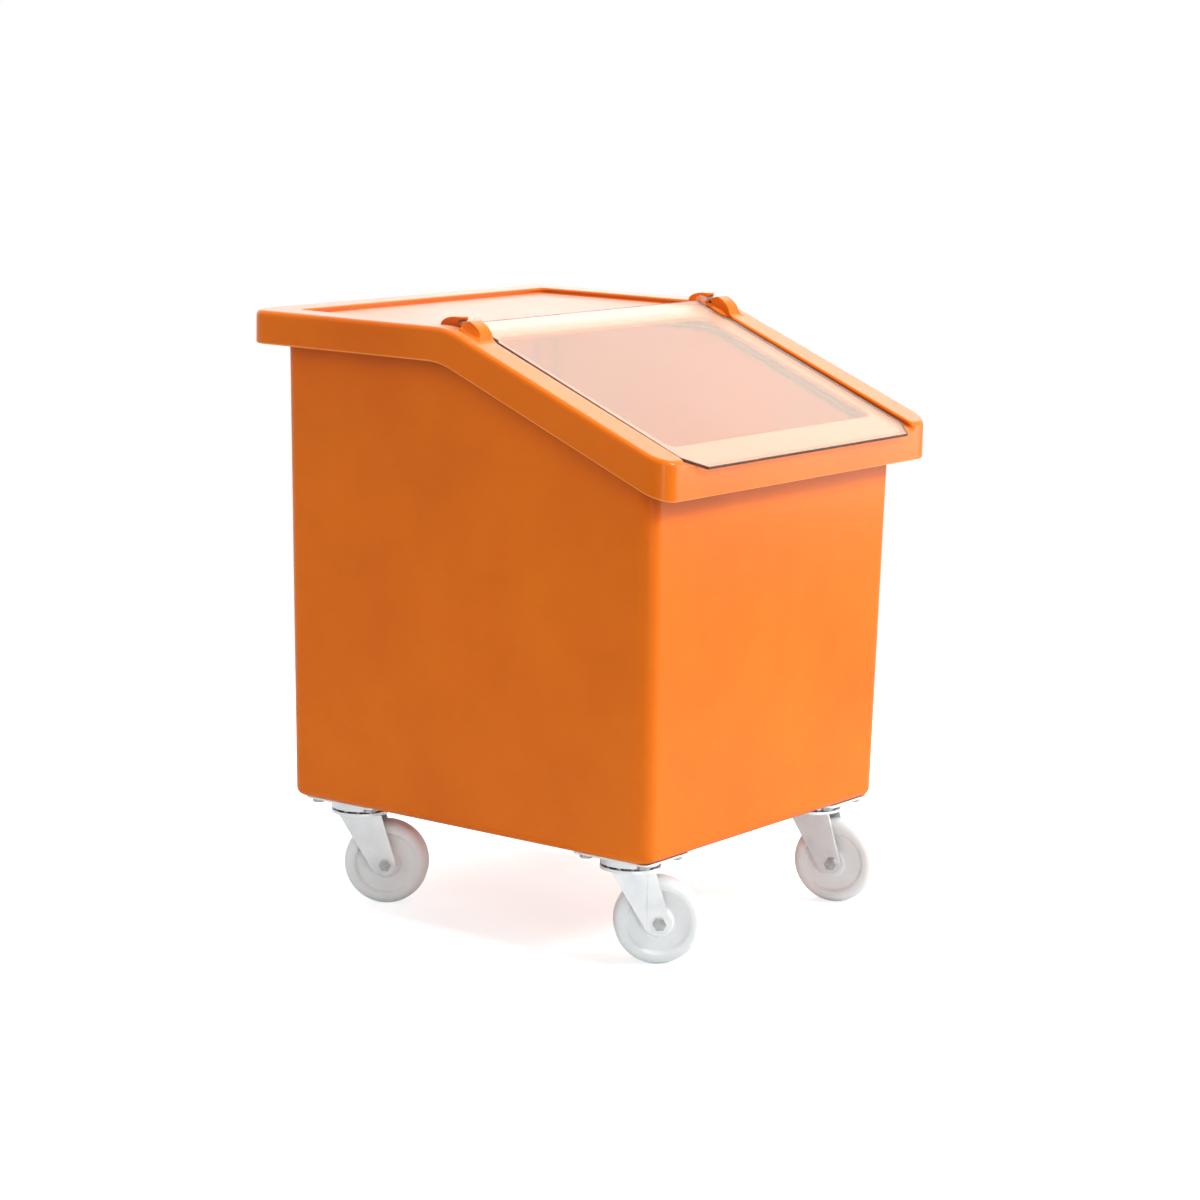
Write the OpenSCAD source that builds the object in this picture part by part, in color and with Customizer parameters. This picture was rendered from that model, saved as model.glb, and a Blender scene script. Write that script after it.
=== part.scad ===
// Rolling ingredient bin for a bakery, in millimetres. A one-piece moulded tub with a
// recessed rear deck and a sloping open front stands on four swivel castors, and a
// clear lid hinges over the opening. The floor is z = 0, the front faces -Y, and the
// origin lies on the floor under the middle of the whole bin.

/* [Tub] */
// Width of the tub at its underside
base_w = 472; // [460:1:484]
// Depth of the tub at its underside
base_d = 525; // [515:1:535]
// Growth in width from the underside to the rim, both sides together
draft_w = 26; // [10:1:30]
// Growth in depth from the underside to the rim, both ends together
draft_d = 6; // [2:1:12]
// Wall thickness of the moulding
wall = 5; // [4:0.5:6]
// Radius of the tub's upright corners
corner_r = 20; // [16:1:26]
// Radius of the edge round the underside
base_edge_r = 10; // [8:0.5:13]

/* [Rim] */
// Width over the rim
rim_w = 549; // [540:1:560]
// Depth over the rim
rim_d = 599.5; // [590:0.5:612]
// Height of the rim's level rear part above the floor
rim_top = 707; // [690:1:720]
// Height of the rim's top edge at the front
front_top = 583.5; // [565:0.5:600]
// Where the level part ends and the slope starts, behind the tub's middle
break_y = 2.8; // [-20:0.2:20]
// Radius that blends the level top into the slope
break_r = 90; // [50:1:120]
// Radius of the bend in the skirt's lower edge
skirt_break_r = 95; // [50:1:120]
// Height of the skirt at the rear
skirt_h = 39; // [34:0.5:44]
// Height of the skirt at the front face
front_skirt_h = 44; // [38:0.5:50]
// Plan radius of the rim's corners
rim_corner_r = 28; // [20:1:36]
// Radius along the rim's top edge
rim_edge_r = 7; // [6.5:0.5:9]
// Width of the raised border along the sides
side_border = 43.6; // [40:0.2:48]
// Width of the raised border at the rear
rear_border = 43; // [36:0.5:50]
// Depth of the recess inside the border
recess_h = 7; // [6:0.5:9]
// Plan radius of the recess's rear corners
recess_r = 9; // [4:0.5:16]
// Plan radius of the border's inner corners at the front
nose_r = 8; // [6:0.5:12]

/* [Opening] */
// Width of the opening in the slope
opening_w = 410; // [360:1:420]
// Distance from the start of the slope to the opening, down the slope
opening_back = 22; // [18:0.5:30]
// Width of the ledge left at the front, down the slope
front_ledge = 40; // [34:0.5:50]
// Radius of the opening's corners
opening_r = 25; // [10:1:40]

/* [Lid] */
// Thickness of the clear sheet
lid_t = 3; // [2:0.5:4]
// Gap at each side between the lid and the recess wall
lid_side_gap = 5.3; // [4:0.1:8]
// Gap between the lid and the ledge that it closes on
lid_rest_gap = 0.4; // [0.3:0.1:0.7]
// How far the lid stands out past the rim's front face
lid_overhang = 11; // [6:0.5:16]
// Width of the corner cut off at the lid's front
lid_corner_x = 22; // [10:0.5:30]
// Length of the corner cut off at the lid's front
lid_corner_y = 26; // [10:0.5:34]
// Step inwards of the lid's sides beside the hinge lugs
lid_step = 4.2; // [3:0.1:7]

/* [Hinge] */
// Diameter of the hinge pins
pin_d = 5; // [4:0.5:6]
// Height of the hinge axis above the level rim
pin_lift = 3.5; // [3:0.1:5]
// Distance of the hinge axis in front of the start of the slope
pin_forward = 1.3; // [0.5:0.1:2.5]
// Running clearance round the pins in their slots
pin_gap = 0.3; // [0.2:0.05:0.4]
// Gap that the lid's turning rear edge keeps to the deck
swing_gap = 0.25; // [0.15:0.05:0.3]
// Width of each pivot clip along the axis
clip_w = 8.5; // [6:0.5:12]
// Thickness of the clip round its pin
clip_wall = 1.8; // [1.5:0.1:3]
// Length of the clip's foot in front of the axis
clip_foot = 20; // [12:0.5:30]
// Thickness of the clip's foot
clip_foot_t = 2; // [1.5:0.1:3]
// Length of pin inside each lug
pin_reach = 15; // [10:0.5:16]

/* [Lugs] */
// Width of the rear hook of each lug
hook_w = 17; // [16:0.5:20]
// Height of the hook above the level rim
hook_h = 10.5; // [9.5:0.5:13]
// Length of the hook's ramp behind its flat top
hook_ramp = 22; // [14:1:30]
// Length of the hook's flat top behind its nose
hook_flat = 9; // [6:0.5:14]
// Distance that the hook's nose reaches in front of the axis
hook_nose = 2.4; // [1:0.1:3]
// Mouth left between the nose and the front hump
mouth = 3.5; // [3:0.1:6]
// Width of the front hump of each lug
hump_w = 21; // [16:0.5:26]
// Height of the hump above the slope
hump_h = 13; // [9:0.5:15]
// Length of the hump down the slope
hump_l = 24; // [18:1:34]
// Height of the hump's square back edge above the level rim
hump_back_h = 5; // [3:0.5:7]
// Distance from the hump's back edge to its crest, down the slope
hump_rise = 5; // [3:0.5:8]
// How far the swelling under the hump stands out from the recess wall
swell = 7; // [4:0.5:8]
// Length of the swelling along the recess wall
swell_l = 26; // [18:1:30]
// Distance down the slope to the middle of the swelling
swell_at = 22.5; // [18:0.5:30]

/* [Castors] */
// Overall height of a castor
castor_h = 128; // [126:0.5:136]
// Diameter of the wheel
wheel_d = 100; // [96:1:100]
// Width over the wheel's tread
wheel_w = 34; // [28:1:36]
// Corner radius of the tread
tread_r = 10; // [6:0.5:13]
// Distance from the swivel axis to the axle
trail = 32; // [28:0.5:36]
// Distance from the tub's front to the front swivel axes
castor_front = 57; // [56:0.5:70]
// Distance from the tub's rear to the rear swivel axes
castor_rear = 68; // [58:0.5:80]
// Distance from the tub's sides to the swivel axes
castor_side = 50; // [46:0.5:62]
// Directions in which the four wheels trail
yaws = [-49, -73.5, -55, -62]; // [-180:0.5:180]

/* [Castor plate] */
// Width of the mounting plate
plate_w = 85; // [80:1:90]
// Length of the mounting plate
plate_l = 105; // [100:1:110]
// Thickness of the mounting plate
plate_t = 2.5; // [2:0.5:4]
// Corner radius of the mounting plate
plate_r = 8; // [4:0.5:12]
// Bolt spacing across the plate
bolt_x = 60; // [58:1:64]
// Bolt spacing along the plate
bolt_y = 80; // [76:1:84]
// Diameter of the plate bolts and of the axle bolt
bolt_d = 8; // [6:0.5:8]
// Width across the flats of bolt heads and nuts
bolt_af = 13; // [11:0.5:14]
// Height of a bolt head
head_h = 5.3; // [4:0.1:6]
// Length of a plate bolt under its head
bolt_l = 18; // [14:0.5:20]
// Clearance of a bolt in its hole, on the radius
hole_gap = 0.25; // [0.1:0.05:0.5]
// Diameter of the threaded inserts
insert_d = 14; // [12:0.5:16]
// Length of the threaded inserts
insert_l = 18; // [16:0.5:22]
// Diameter of the moulded bosses that hold the inserts
boss_d = 24; // [22:0.5:28]
// Plastic left over the end of an insert
boss_cap = 4; // [3:0.5:6]

/* [Swivel] */
// Outer diameter of the ball races
race_d = 69; // [64:0.5:72]
// Inner diameter of the ball races
race_bore = 44; // [40:0.5:46]
// Depth of the race pressed in the plate
race_h = 9.5; // [7:0.5:11]
// Gap between the two races
race_gap = 2.5; // [1.5:0.1:3.5]
// Thickness of the fork's crown
crown_t = 3.5; // [3:0.1:5]
// Diameter of the balls
ball_d = 7; // [6:0.5:8]
// Number of balls
balls = 12; // [8:1:14]
// Running gap round the balls
ball_gap = 0.1; // [0.05:0.05:0.3]
// Diameter of the king pin
king_d = 12; // [10:0.5:14]
// Diameter of the king pin's collar
collar_d = 18; // [16:0.5:22]
// Diameter of the king pin's head
king_head_d = 22; // [18:0.5:24]
// Thickness of the king pin's head
king_head_h = 4.5; // [3:0.5:5.5]
// Running clearance on the king pin's radius
king_gap = 0.05; // [0.02:0.01:0.1]
// End play of the fork on the king pin
end_play = 0.3; // [0.2:0.05:0.4]

/* [Fork] */
// Thickness of the fork's steel
fork_t = 2.5; // [2:0.1:3.5]
// Space between the fork's legs
fork_gap = 39; // [37:0.5:42]
// Radius of the legs' lower ends
leg_r = 12.5; // [10:0.5:15]
// Length of the flat at the legs' lower ends
leg_flat = 5; // [1:0.5:8]
// How far the legs start in front of the swivel axis
leg_front = 25; // [20:0.5:28]
// How far the legs start behind the swivel axis
leg_rear = 26; // [24:0.5:26]
// Gap between the wheel and the web that joins the legs
web_gap = 3; // [2:0.5:6]
// Height of the pressed rib on each leg
rib_h = 1.2; // [0.6:0.1:2]
// Width of the margin in front of the rib
rib_margin = 7; // [4:0.5:10]

/* [Axle] */
// Outer diameter of the axle sleeve
sleeve_d = 12; // [10:0.5:14]
// Running clearance of the wheel on the sleeve, on the radius
axle_gap = 0.08; // [0.03:0.01:0.1]
// Gap between the hub and each leg
hub_gap = 0.5; // [0.3:0.1:1]
// Diameter of the hub
hub_d = 32; // [24:1:38]
// Diameter at which the wheel's face steps up to the tread
face_d = 78; // [60:1:84]
// Depth of the dished face below the tread's side
dish = 3.5; // [1:0.5:6]
// Height of the axle nut
nut_h = 8; // [6:0.5:9]
// Length of thread past the nut
thread_end = 1.5; // [1:0.5:3]

/* [Hidden] */
corners = ["fl", "fr", "rl", "rr"];
castor_parts = ["castor_plate", "king_pin", "plate_bolts", "thread_inserts", "swivel_balls",
                "fork", "axle_bolt", "axle_nut", "axle_sleeve", "wheel"];
$fn = 64;
// Facets of the rounded pieces inside a hull
round_fn = 24;
// Longer than anything that is cut
far = 900;
// Overlap that makes a cut or a joined piece sure
over = 2;

orange = [0.93, 0.42, 0.07];
clear = [0.86, 0.92, 0.95, 0.35];
zinc = [0.80, 0.81, 0.82];
dark_zinc = [0.62, 0.63, 0.64];
brass = [0.80, 0.66, 0.34];
nylon = [0.93, 0.93, 0.91];

// The lid stands out past the front, so the tub's middle lies behind the bin's middle
tub_y = lid_overhang / 2;
base_z = castor_h;
rear_skirt_z = rim_top - skirt_h;
front_skirt_z = front_top - front_skirt_h;
slope = atan2(rim_top - front_top, rim_d / 2 + break_y);
// Where the skirt's lower edge turns down, so that both edges bend on one line
skirt_break_y = break_y + skirt_h * tan(slope / 2);
skirt_slope = atan2(rear_skirt_z - front_skirt_z, rim_d / 2 + skirt_break_y);
slope_l = (rim_d / 2 + break_y) / cos(slope);

recess_x = rim_w / 2 - side_border;
deck_z = rim_top - recess_h;
opening_l = slope_l - opening_back - front_ledge;

// Centres of the bends, as y and z, that all the blended layers share
bend_c = [break_y + break_r * tan(slope / 2), rim_top - break_r];
skirt_bend_c = [skirt_break_y + skirt_break_r * tan(skirt_slope / 2), rear_skirt_z - skirt_break_r];

// In the slope's own frame, y runs up the slope from the break and z stands off the rim
lid_low = lid_rest_gap - recess_h;
lid_high = lid_low + lid_t;
lid_x = recess_x - lid_side_gap;
hinge_x = lid_x - lid_step;
lid_front = (break_y + rim_d / 2 + lid_overhang - lid_high * sin(slope)) / cos(slope);
pin_r = pin_d / 2;
pin_y = break_y - pin_forward;
pin_z = rim_top + pin_lift;
axis_up = pin_lift * sin(slope) - pin_forward * cos(slope);
axis_off = pin_forward * sin(slope) + pin_lift * cos(slope);
swing_r = pin_lift + recess_h - swing_gap;
tail_low = sqrt(max(0, pow(swing_r, 2) - pow(axis_off - lid_low, 2)));
tail_high = sqrt(max(0, pow(swing_r, 2) - pow(axis_off - lid_high, 2)));
clip_r = pin_r + clip_wall;
slot_r = pin_r + pin_gap;
nose_y = pin_y - hook_nose;
hump_y = nose_y - mouth;
swell_r = (pow(swell_l / 2, 2) + pow(swell, 2)) / (2 * swell);
// The lid's narrow part runs past the swelling and some way clear of it
step_at = swell_at + swell_l / 2 + 4;

castor_x = base_w / 2 - castor_side;
castor_yf = castor_front - base_d / 2;
castor_yr = base_d / 2 - castor_rear;
castor_at = [[-castor_x, castor_yf], [castor_x, castor_yf], [-castor_x, castor_yr], [castor_x, castor_yr]];
axle_z = wheel_d / 2;
bolt_r = bolt_d / 2;
hole_r = bolt_r + hole_gap;
plate_z = castor_h - plate_t;
race_z = plate_z - race_h;
crown_z = race_z - race_gap - crown_t;
ball_z = race_z - race_gap / 2;
ball_ring_r = (race_d + race_bore) / 4;
king_r = king_d / 2;
leg_y = fork_gap / 2;
leg_top = crown_z + crown_t / 2;
sleeve_r = sleeve_d / 2;
hub_y = leg_y - hub_gap;

// Half the tub's width and depth at height z, widening with the draft
function grow(z) = (z - base_z) / (rear_skirt_z - base_z);
function half_w(z) = (base_w + draft_w * grow(z)) / 2;
function half_d(z) = (base_d + draft_d * grow(z)) / 2;
// Height of the sloping rim top at y
function slope_z(y) = rim_top - (break_y - y) * tan(slope);
// Side view point, u down the slope from the break and n off the rim's sloping top
function on_side(u, n) = [break_y - u * cos(slope) - n * sin(slope), rim_top - u * sin(slope) + n * cos(slope)];
// Points round the four corners of a rectangle, on arcs of radius r
function corner_path(half_x, half_y, r, step) = [
    for (sx = [-1, 1]) for (sy = [-1, 1]) for (a = [0:step:90])
        [sx * (half_x + r * cos(a)), sy * (half_y + r * sin(a))]
];
// Points on a circle of radius r round c, from angle a0 to angle a1
function arc(c, r, a0, a1, steps) = [
    for (i = [0:steps]) let (a = a0 + (a1 - a0) * i / steps) c + r * [cos(a), sin(a)]
];
// Angle at which a line from p touches a circle of radius r round c, on the side that turn picks
function touch_angle(p, c, r, turn) =
    let (d = p - c) atan2(d[1], d[0]) + turn * acos(r / norm(d));

module rounded_rect(w, d, r) {
    square([w - 2 * r, d], center = true);
    square([w, d - 2 * r], center = true);
    for (x = [r - w / 2, w / 2 - r]) for (y = [r - d / 2, d / 2 - r])
        translate([x, y]) circle(r);
}

// Stands a side view, drawn as y and z, across the bin from x0 to x1
module across(x0, x1) {
    translate([x0, 0, 0]) rotate([90, 0, 90]) linear_extrude(x1 - x0) children();
}

module on_slope() {
    translate([0, break_y, rim_top]) rotate([slope, 0, 0]) children();
}

module both_sides() {
    children();
    mirror([1, 0, 0]) children();
}

// The tub below the rim, drawn in by t, with its top up inside the rim
module lower_form(t) {
    reach = wall / cos(skirt_slope) + over;
    front_z = front_skirt_z + (rim_d / 2 - base_d / 2 + wall) * tan(skirt_slope) + reach;
    rear_z = rear_skirt_z + reach;
    r = corner_r - base_edge_r;
    hull() {
        for (p = corner_path(base_w / 2 - corner_r, base_d / 2 - corner_r, r, 30))
            translate([p[0], p[1], base_z + base_edge_r]) sphere(base_edge_r - t, $fn = round_fn);
        for (x = [-1, 1]) {
            translate([x * (half_w(front_z) - corner_r), corner_r - half_d(front_z), front_z - 1])
                cylinder(r = corner_r - t, h = 1, $fn = 32);
            translate([x * (half_w(rear_z) - corner_r), skirt_break_y, rear_z - 1])
                cylinder(r = corner_r - t, h = 1, $fn = 32);
            translate([x * (half_w(rear_z) - corner_r), half_d(rear_z) - corner_r, rear_z - 1])
                cylinder(r = corner_r - t, h = 1, $fn = 32);
        }
    }
}

// The rim as a solid block, drawn in by t, with its top edge and its break rounded
module rim_block(t) {
    e = rim_edge_r;
    half_x = rim_w / 2 - rim_corner_r;
    half_y = rim_d / 2 - rim_corner_r;
    path = corner_path(half_x, half_y, rim_corner_r - e, 15);
    hull() {
        for (p = path) {
            top = p[1] < 0 ? slope_z(p[1]) - e / cos(slope) : rim_top - e;
            translate([p[0], p[1], top]) sphere(e - t, $fn = round_fn);
            translate([p[0], p[1], front_skirt_z - over]) cylinder(r = e - t, h = 1, $fn = round_fn);
        }
        for (x = [e - rim_w / 2, rim_w / 2 - e]) for (p = arc(bend_c, break_r - e, 90, 90 + slope, 6))
            translate([x, p[0], p[1]]) sphere(e - t, $fn = round_fn);
    }
}

// What lies below the skirt's lower edge, raised by t
module below_skirt(t) {
    lift = t / cos(skirt_slope);
    across(-far, far) polygon(concat(
        [[-far, front_skirt_z + lift - (far - rim_d / 2) * tan(skirt_slope)]],
        arc(skirt_bend_c, skirt_break_r + t, 90 + skirt_slope, 90, 8),
        [[far, rear_skirt_z + t], [far, -far], [-far, -far]]
    ));
}

// The shallow recess of deck and ledges, made t wider and t deeper
module recess(t) {
    depth = rim_d - rear_border + far;
    flare_y = nose_r - rim_d / 2;
    intersection() {
        linear_extrude(far) {
            translate([0, rim_d / 2 - rear_border + t - depth / 2])
                rounded_rect(2 * (recess_x + t), depth, recess_r + t);
            both_sides() polygon(concat(
                [[recess_x - over, -far], [recess_x - over, flare_y]],
                arc([recess_x + nose_r, flare_y], nose_r - t, 180, 270, 6),
                [[recess_x + nose_r, -far]]
            ));
        }
        across(-far, far) polygon(concat(
            [on_side(far / 2, -recess_h - t)],
            arc(bend_c, break_r - recess_h - t, 90 + slope, 90, 8),
            [[far, deck_z - t], [far, far], [-far, far]]
        ));
    }
}

module tub_form(t) {
    difference() {
        union() {
            lower_form(t);
            difference() {
                rim_block(t);
                below_skirt(t);
            }
        }
        recess(t);
    }
}

module opening() {
    on_slope() translate([0, -opening_back - opening_l / 2, -recess_h - wall - 3 * over])
        linear_extrude(recess_h + wall + 6 * over) rounded_rect(opening_w, opening_l, opening_r);
}

// Rear part of a lug: a ramp up to a flat top whose nose reaches over the hinge pin
module lug_hook() {
    flat_y = nose_y + hook_flat;
    root = wall - 1;
    difference() {
        intersection() {
            across(recess_x, recess_x + hook_w) polygon(concat(
                [[nose_y, rim_top - root], [nose_y, rim_top + hook_h]],
                [for (a = [90:-10:0]) [flat_y + hook_ramp * cos(a), rim_top + hook_h * sin(a)]],
                [[flat_y + hook_ramp, rim_top - root]]
            ));
            union() {
                translate([recess_x + hook_w / 2, nose_y + hook_w / 2, 0]) cylinder(d = hook_w, h = far);
                translate([recess_x, nose_y + hook_w / 2, 0]) cube([hook_w, far, far]);
            }
        }
        translate([recess_x - over, pin_y, pin_z]) rotate([0, 90, 0])
            cylinder(r = slot_r, h = hook_w + 2 * over);
        translate([recess_x - over, nose_y - over, pin_z - slot_r])
            cube([hook_w + 2 * over, pin_y - nose_y + over, 2 * slot_r]);
    }
}

// Front part of a lug: a hump that runs down onto the sloping border
module lug_hump() {
    root = wall - 1;
    crest_u = (break_y - hump_y) / cos(slope) + hump_rise;
    across(recess_x, recess_x + hump_w) polygon(concat(
        [[hump_y, slope_z(hump_y) - root], [hump_y, rim_top + hump_back_h]],
        [for (a = [0:10:90]) on_side(crest_u + hump_l * sin(a), hump_h * cos(a))],
        [on_side(crest_u + hump_l, -root)]
    ));
}

// Swelling of the recess wall under the hump, which keeps the lid's corner in line
module lug_swell() {
    on_slope() translate([recess_x - swell + swell_r, -swell_at, -recess_h - wall / 2])
        cylinder(r = swell_r, h = recess_h + wall / 2 - 0.2);
}

module bolt_points() {
    for (x = [-bolt_x / 2, bolt_x / 2]) for (y = [-bolt_y / 2, bolt_y / 2])
        translate([x, y, 0]) children();
}

module at_castors() {
    for (p = castor_at) translate([p[0], p[1], 0]) children();
}

module tub() {
    color(orange) difference() {
        union() {
            difference() {
                tub_form(0);
                tub_form(wall);
                opening();
            }
            both_sides() {
                lug_hook();
                lug_hump();
                lug_swell();
            }
            at_castors() bolt_points() translate([0, 0, base_z + wall / 2])
                cylinder(d = boss_d, h = insert_l + boss_cap - wall / 2);
        }
        at_castors() bolt_points() translate([0, 0, base_z - over])
            cylinder(d = insert_d + 0.1, h = insert_l + 0.1 + over);
    }
}

module lid_panel() {
    color(clear) on_slope() difference() {
        translate([0, 0, lid_low]) linear_extrude(lid_t) polygon([
            [-hinge_x, axis_up + tail_high],
            [hinge_x, axis_up + tail_high],
            [hinge_x, -step_at],
            [lid_x, -step_at],
            [lid_x, lid_corner_y - lid_front],
            [lid_x - lid_corner_x, -lid_front],
            [lid_corner_x - lid_x, -lid_front],
            [-lid_x, lid_corner_y - lid_front],
            [-lid_x, -step_at],
            [-hinge_x, -step_at]
        ]);
        across(-far, far) polygon([
            [axis_up + tail_low, lid_low],
            [axis_up + tail_high, lid_high],
            [axis_up + tail_high + over, lid_high],
            [axis_up + tail_high + over, lid_low - over],
            [axis_up + tail_low, lid_low - over]
        ]);
    }
}

// Clip on the lid's rear corner, with the pin that turns in the lug
module lid_pivot() {
    color(clear) on_slope() {
        across(hinge_x - clip_w, hinge_x) {
            translate([axis_up, axis_off]) circle(clip_r);
            polygon([
                [axis_up - clip_foot, lid_high],
                [axis_up - clip_foot, lid_high + clip_foot_t],
                [axis_up - 2 * clip_r, lid_high + clip_foot_t],
                [axis_up - clip_r, axis_off],
                [axis_up + clip_r, axis_off],
                [axis_up + clip_r, lid_high]
            ]);
        }
        translate([hinge_x - over, axis_up, axis_off]) rotate([0, 90, 0])
            cylinder(r = pin_r, h = recess_x + pin_reach - hinge_x + over);
    }
}

// The castor modules draw one castor with its swivel axis on z and its wheel trailing to +X
module castor_plate() {
    color(zinc) difference() {
        union() {
            translate([0, 0, plate_z]) linear_extrude(plate_t) rounded_rect(plate_w, plate_l, plate_r);
            translate([0, 0, race_z]) cylinder(d = race_d, h = race_h + plate_t / 2);
        }
        translate([0, 0, race_z - over]) cylinder(d = race_bore, h = race_h + over);
        translate([0, 0, ball_z]) ball_groove();
        cylinder(r = king_r + king_gap, h = castor_h + over);
        bolt_points() cylinder(r = hole_r, h = castor_h + over);
    }
}

// Ring-shaped groove that the balls run in
module ball_groove() {
    rotate_extrude() translate([ball_ring_r, 0]) circle(ball_d / 2 + ball_gap);
}

module king_pin() {
    head_z = crown_z - end_play;
    collar_z = race_z - race_gap + end_play;
    color(dark_zinc) {
        translate([0, 0, head_z - king_head_h]) cylinder(d = king_head_d, h = king_head_h);
        translate([0, 0, head_z - 1]) cylinder(r = king_r, h = castor_h - head_z + 0.5);
        translate([0, 0, collar_z]) cylinder(d = collar_d, h = plate_z - collar_z);
    }
}

module plate_bolts() {
    color(zinc) bolt_points() {
        translate([0, 0, plate_z - head_h]) cylinder(d = bolt_af / cos(30), h = head_h, $fn = 6);
        translate([0, 0, plate_z - 1]) cylinder(r = bolt_r, h = bolt_l + 1);
    }
}

module thread_inserts() {
    color(brass) bolt_points() translate([0, 0, base_z]) difference() {
        cylinder(d = insert_d, h = insert_l);
        translate([0, 0, -over]) cylinder(r = bolt_r + 0.05, h = insert_l - 1 + over);
    }
}

module swivel_balls() {
    color(dark_zinc) for (i = [0:balls - 1]) rotate([0, 0, i * 360 / balls])
        translate([ball_ring_r, 0, ball_z]) sphere(d = ball_d);
}

// Side view of a fork leg, drawn as x and z, from the crown down round the axle
module leg_outline(shrink) {
    r = leg_r - shrink;
    front_top = [-leg_front, leg_top];
    rear_top = [leg_rear, leg_top];
    front_end = [trail - leg_flat, axle_z];
    rear_end = [trail, axle_z];
    polygon(concat(
        [front_top],
        arc(front_end, r, touch_angle(front_top, front_end, r, 1), 270, 8),
        arc(rear_end, r, 270, 360 + touch_angle(rear_top, rear_end, r, -1), 12),
        [rear_top]
    ));
}

// Stands a fork's side view, drawn as x and z, between y0 and y1
module thick(y0, y1) {
    translate([0, y1, 0]) rotate([90, 0, 0]) linear_extrude(y1 - y0) children();
}

module fork() {
    rib_y = leg_y + fork_t;
    color(zinc) difference() {
        union() {
            difference() {
                thick(-rib_y, rib_y) leg_outline(0);
                thick(-leg_y, leg_y) {
                    translate([fork_t / cos(30), 0]) leg_outline(0);
                    translate([trail, axle_z]) circle(wheel_d / 2 + web_gap);
                    translate([-far / 2, 0]) square([far, axle_z]);
                }
            }
            translate([0, 0, crown_z]) cylinder(d = race_d, h = crown_t);
            for (side = [-1, 1]) scale([1, side, 1])
                thick(rib_y - 0.1, rib_y + rib_h) intersection() {
                    leg_outline(2);
                    translate([trail - leg_flat - leg_r + rib_margin / 2, 0]) square([far, crown_z]);
                }
        }
        translate([0, 0, ball_z]) ball_groove();
        cylinder(r = king_r + king_gap, h = castor_h);
        translate([trail, -far / 2, axle_z]) rotate([-90, 0, 0]) cylinder(r = hole_r, h = far);
    }
}

module along_axle(y) {
    translate([trail, y, axle_z]) rotate([-90, 0, 0]) children();
}

module axle_bolt() {
    seat = leg_y + fork_t + rib_h;
    color(zinc) {
        along_axle(-seat - head_h) cylinder(d = bolt_af / cos(30), h = head_h, $fn = 6);
        along_axle(-seat - 1) cylinder(r = bolt_r, h = 2 * seat + 1 + nut_h + thread_end);
    }
}

module axle_nut() {
    color(zinc) along_axle(leg_y + fork_t + rib_h) difference() {
        cylinder(d = bolt_af / cos(30), h = nut_h, $fn = 6);
        translate([0, 0, -over]) cylinder(r = bolt_r + 0.05, h = nut_h + 2 * over);
    }
}

module axle_sleeve() {
    color(dark_zinc) along_axle(-leg_y) difference() {
        cylinder(r = sleeve_r, h = 2 * leg_y);
        translate([0, 0, -over]) cylinder(r = bolt_r + 0.1, h = 2 * leg_y + 2 * over);
    }
}

// Half section of the wheel, x out from the axle and y along it, with a rounded tread
module wheel_section() {
    half = wheel_w / 2;
    rim = wheel_d / 2 - tread_r;
    bore = sleeve_r + axle_gap;
    polygon(concat(
        [[bore, -hub_y], [hub_d / 2 - 1, -hub_y], [hub_d / 2, 1 - hub_y], [hub_d / 2 + 2, dish - half],
         [face_d / 2 - dish, dish - half], [face_d / 2, -half]],
        [for (a = [-90:10:0]) [rim + tread_r * cos(a), tread_r - half + tread_r * sin(a)]],
        [for (a = [0:10:90]) [rim + tread_r * cos(a), half - tread_r + tread_r * sin(a)]],
        [[face_d / 2, half], [face_d / 2 - dish, half - dish], [hub_d / 2 + 2, half - dish],
         [hub_d / 2, hub_y - 1], [hub_d / 2 - 1, hub_y], [bore, hub_y]]
    ));
}

module wheel() {
    color(nylon) along_axle(0) rotate_extrude($fn = 96) wheel_section();
}

module at_castor(i, swivels) {
    translate([castor_at[i][0], castor_at[i][1], 0]) rotate([0, 0, swivels ? yaws[i] : 0]) children();
}

translate([0, tub_y, 0]) {
    tub();
    lid_panel();
    mirror([1, 0, 0]) lid_pivot();  // lid_pivot_left
    lid_pivot();  // lid_pivot_right
    for (i = [0:3]) {
        c = corners[i];
        at_castor(i, false) castor_plate();
        at_castor(i, false) king_pin();
        at_castor(i, false) plate_bolts();
        at_castor(i, false) thread_inserts();
        at_castor(i, true) swivel_balls();
        at_castor(i, true) fork();
        at_castor(i, true) axle_bolt();
        at_castor(i, true) axle_nut();
        at_castor(i, true) axle_sleeve();
        at_castor(i, true) wheel();
    }
}
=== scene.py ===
import math
import bmesh
import bpy
from mathutils import Matrix, Vector
from mathutils.geometry import delaunay_2d_cdt


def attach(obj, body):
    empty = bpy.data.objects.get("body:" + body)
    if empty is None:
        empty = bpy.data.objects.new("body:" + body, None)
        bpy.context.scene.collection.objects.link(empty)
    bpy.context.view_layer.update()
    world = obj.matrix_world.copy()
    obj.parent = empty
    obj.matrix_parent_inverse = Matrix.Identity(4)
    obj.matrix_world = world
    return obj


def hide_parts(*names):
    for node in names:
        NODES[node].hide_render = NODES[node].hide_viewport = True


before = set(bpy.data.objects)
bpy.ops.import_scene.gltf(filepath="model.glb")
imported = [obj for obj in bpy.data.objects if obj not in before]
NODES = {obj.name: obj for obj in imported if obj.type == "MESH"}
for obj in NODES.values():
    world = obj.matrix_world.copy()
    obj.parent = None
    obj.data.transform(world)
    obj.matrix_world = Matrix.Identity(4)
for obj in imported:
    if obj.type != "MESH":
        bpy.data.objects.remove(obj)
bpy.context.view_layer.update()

CORNERS = ("fl", "fr", "rl", "rr")


# ---------- materials ----------

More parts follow.
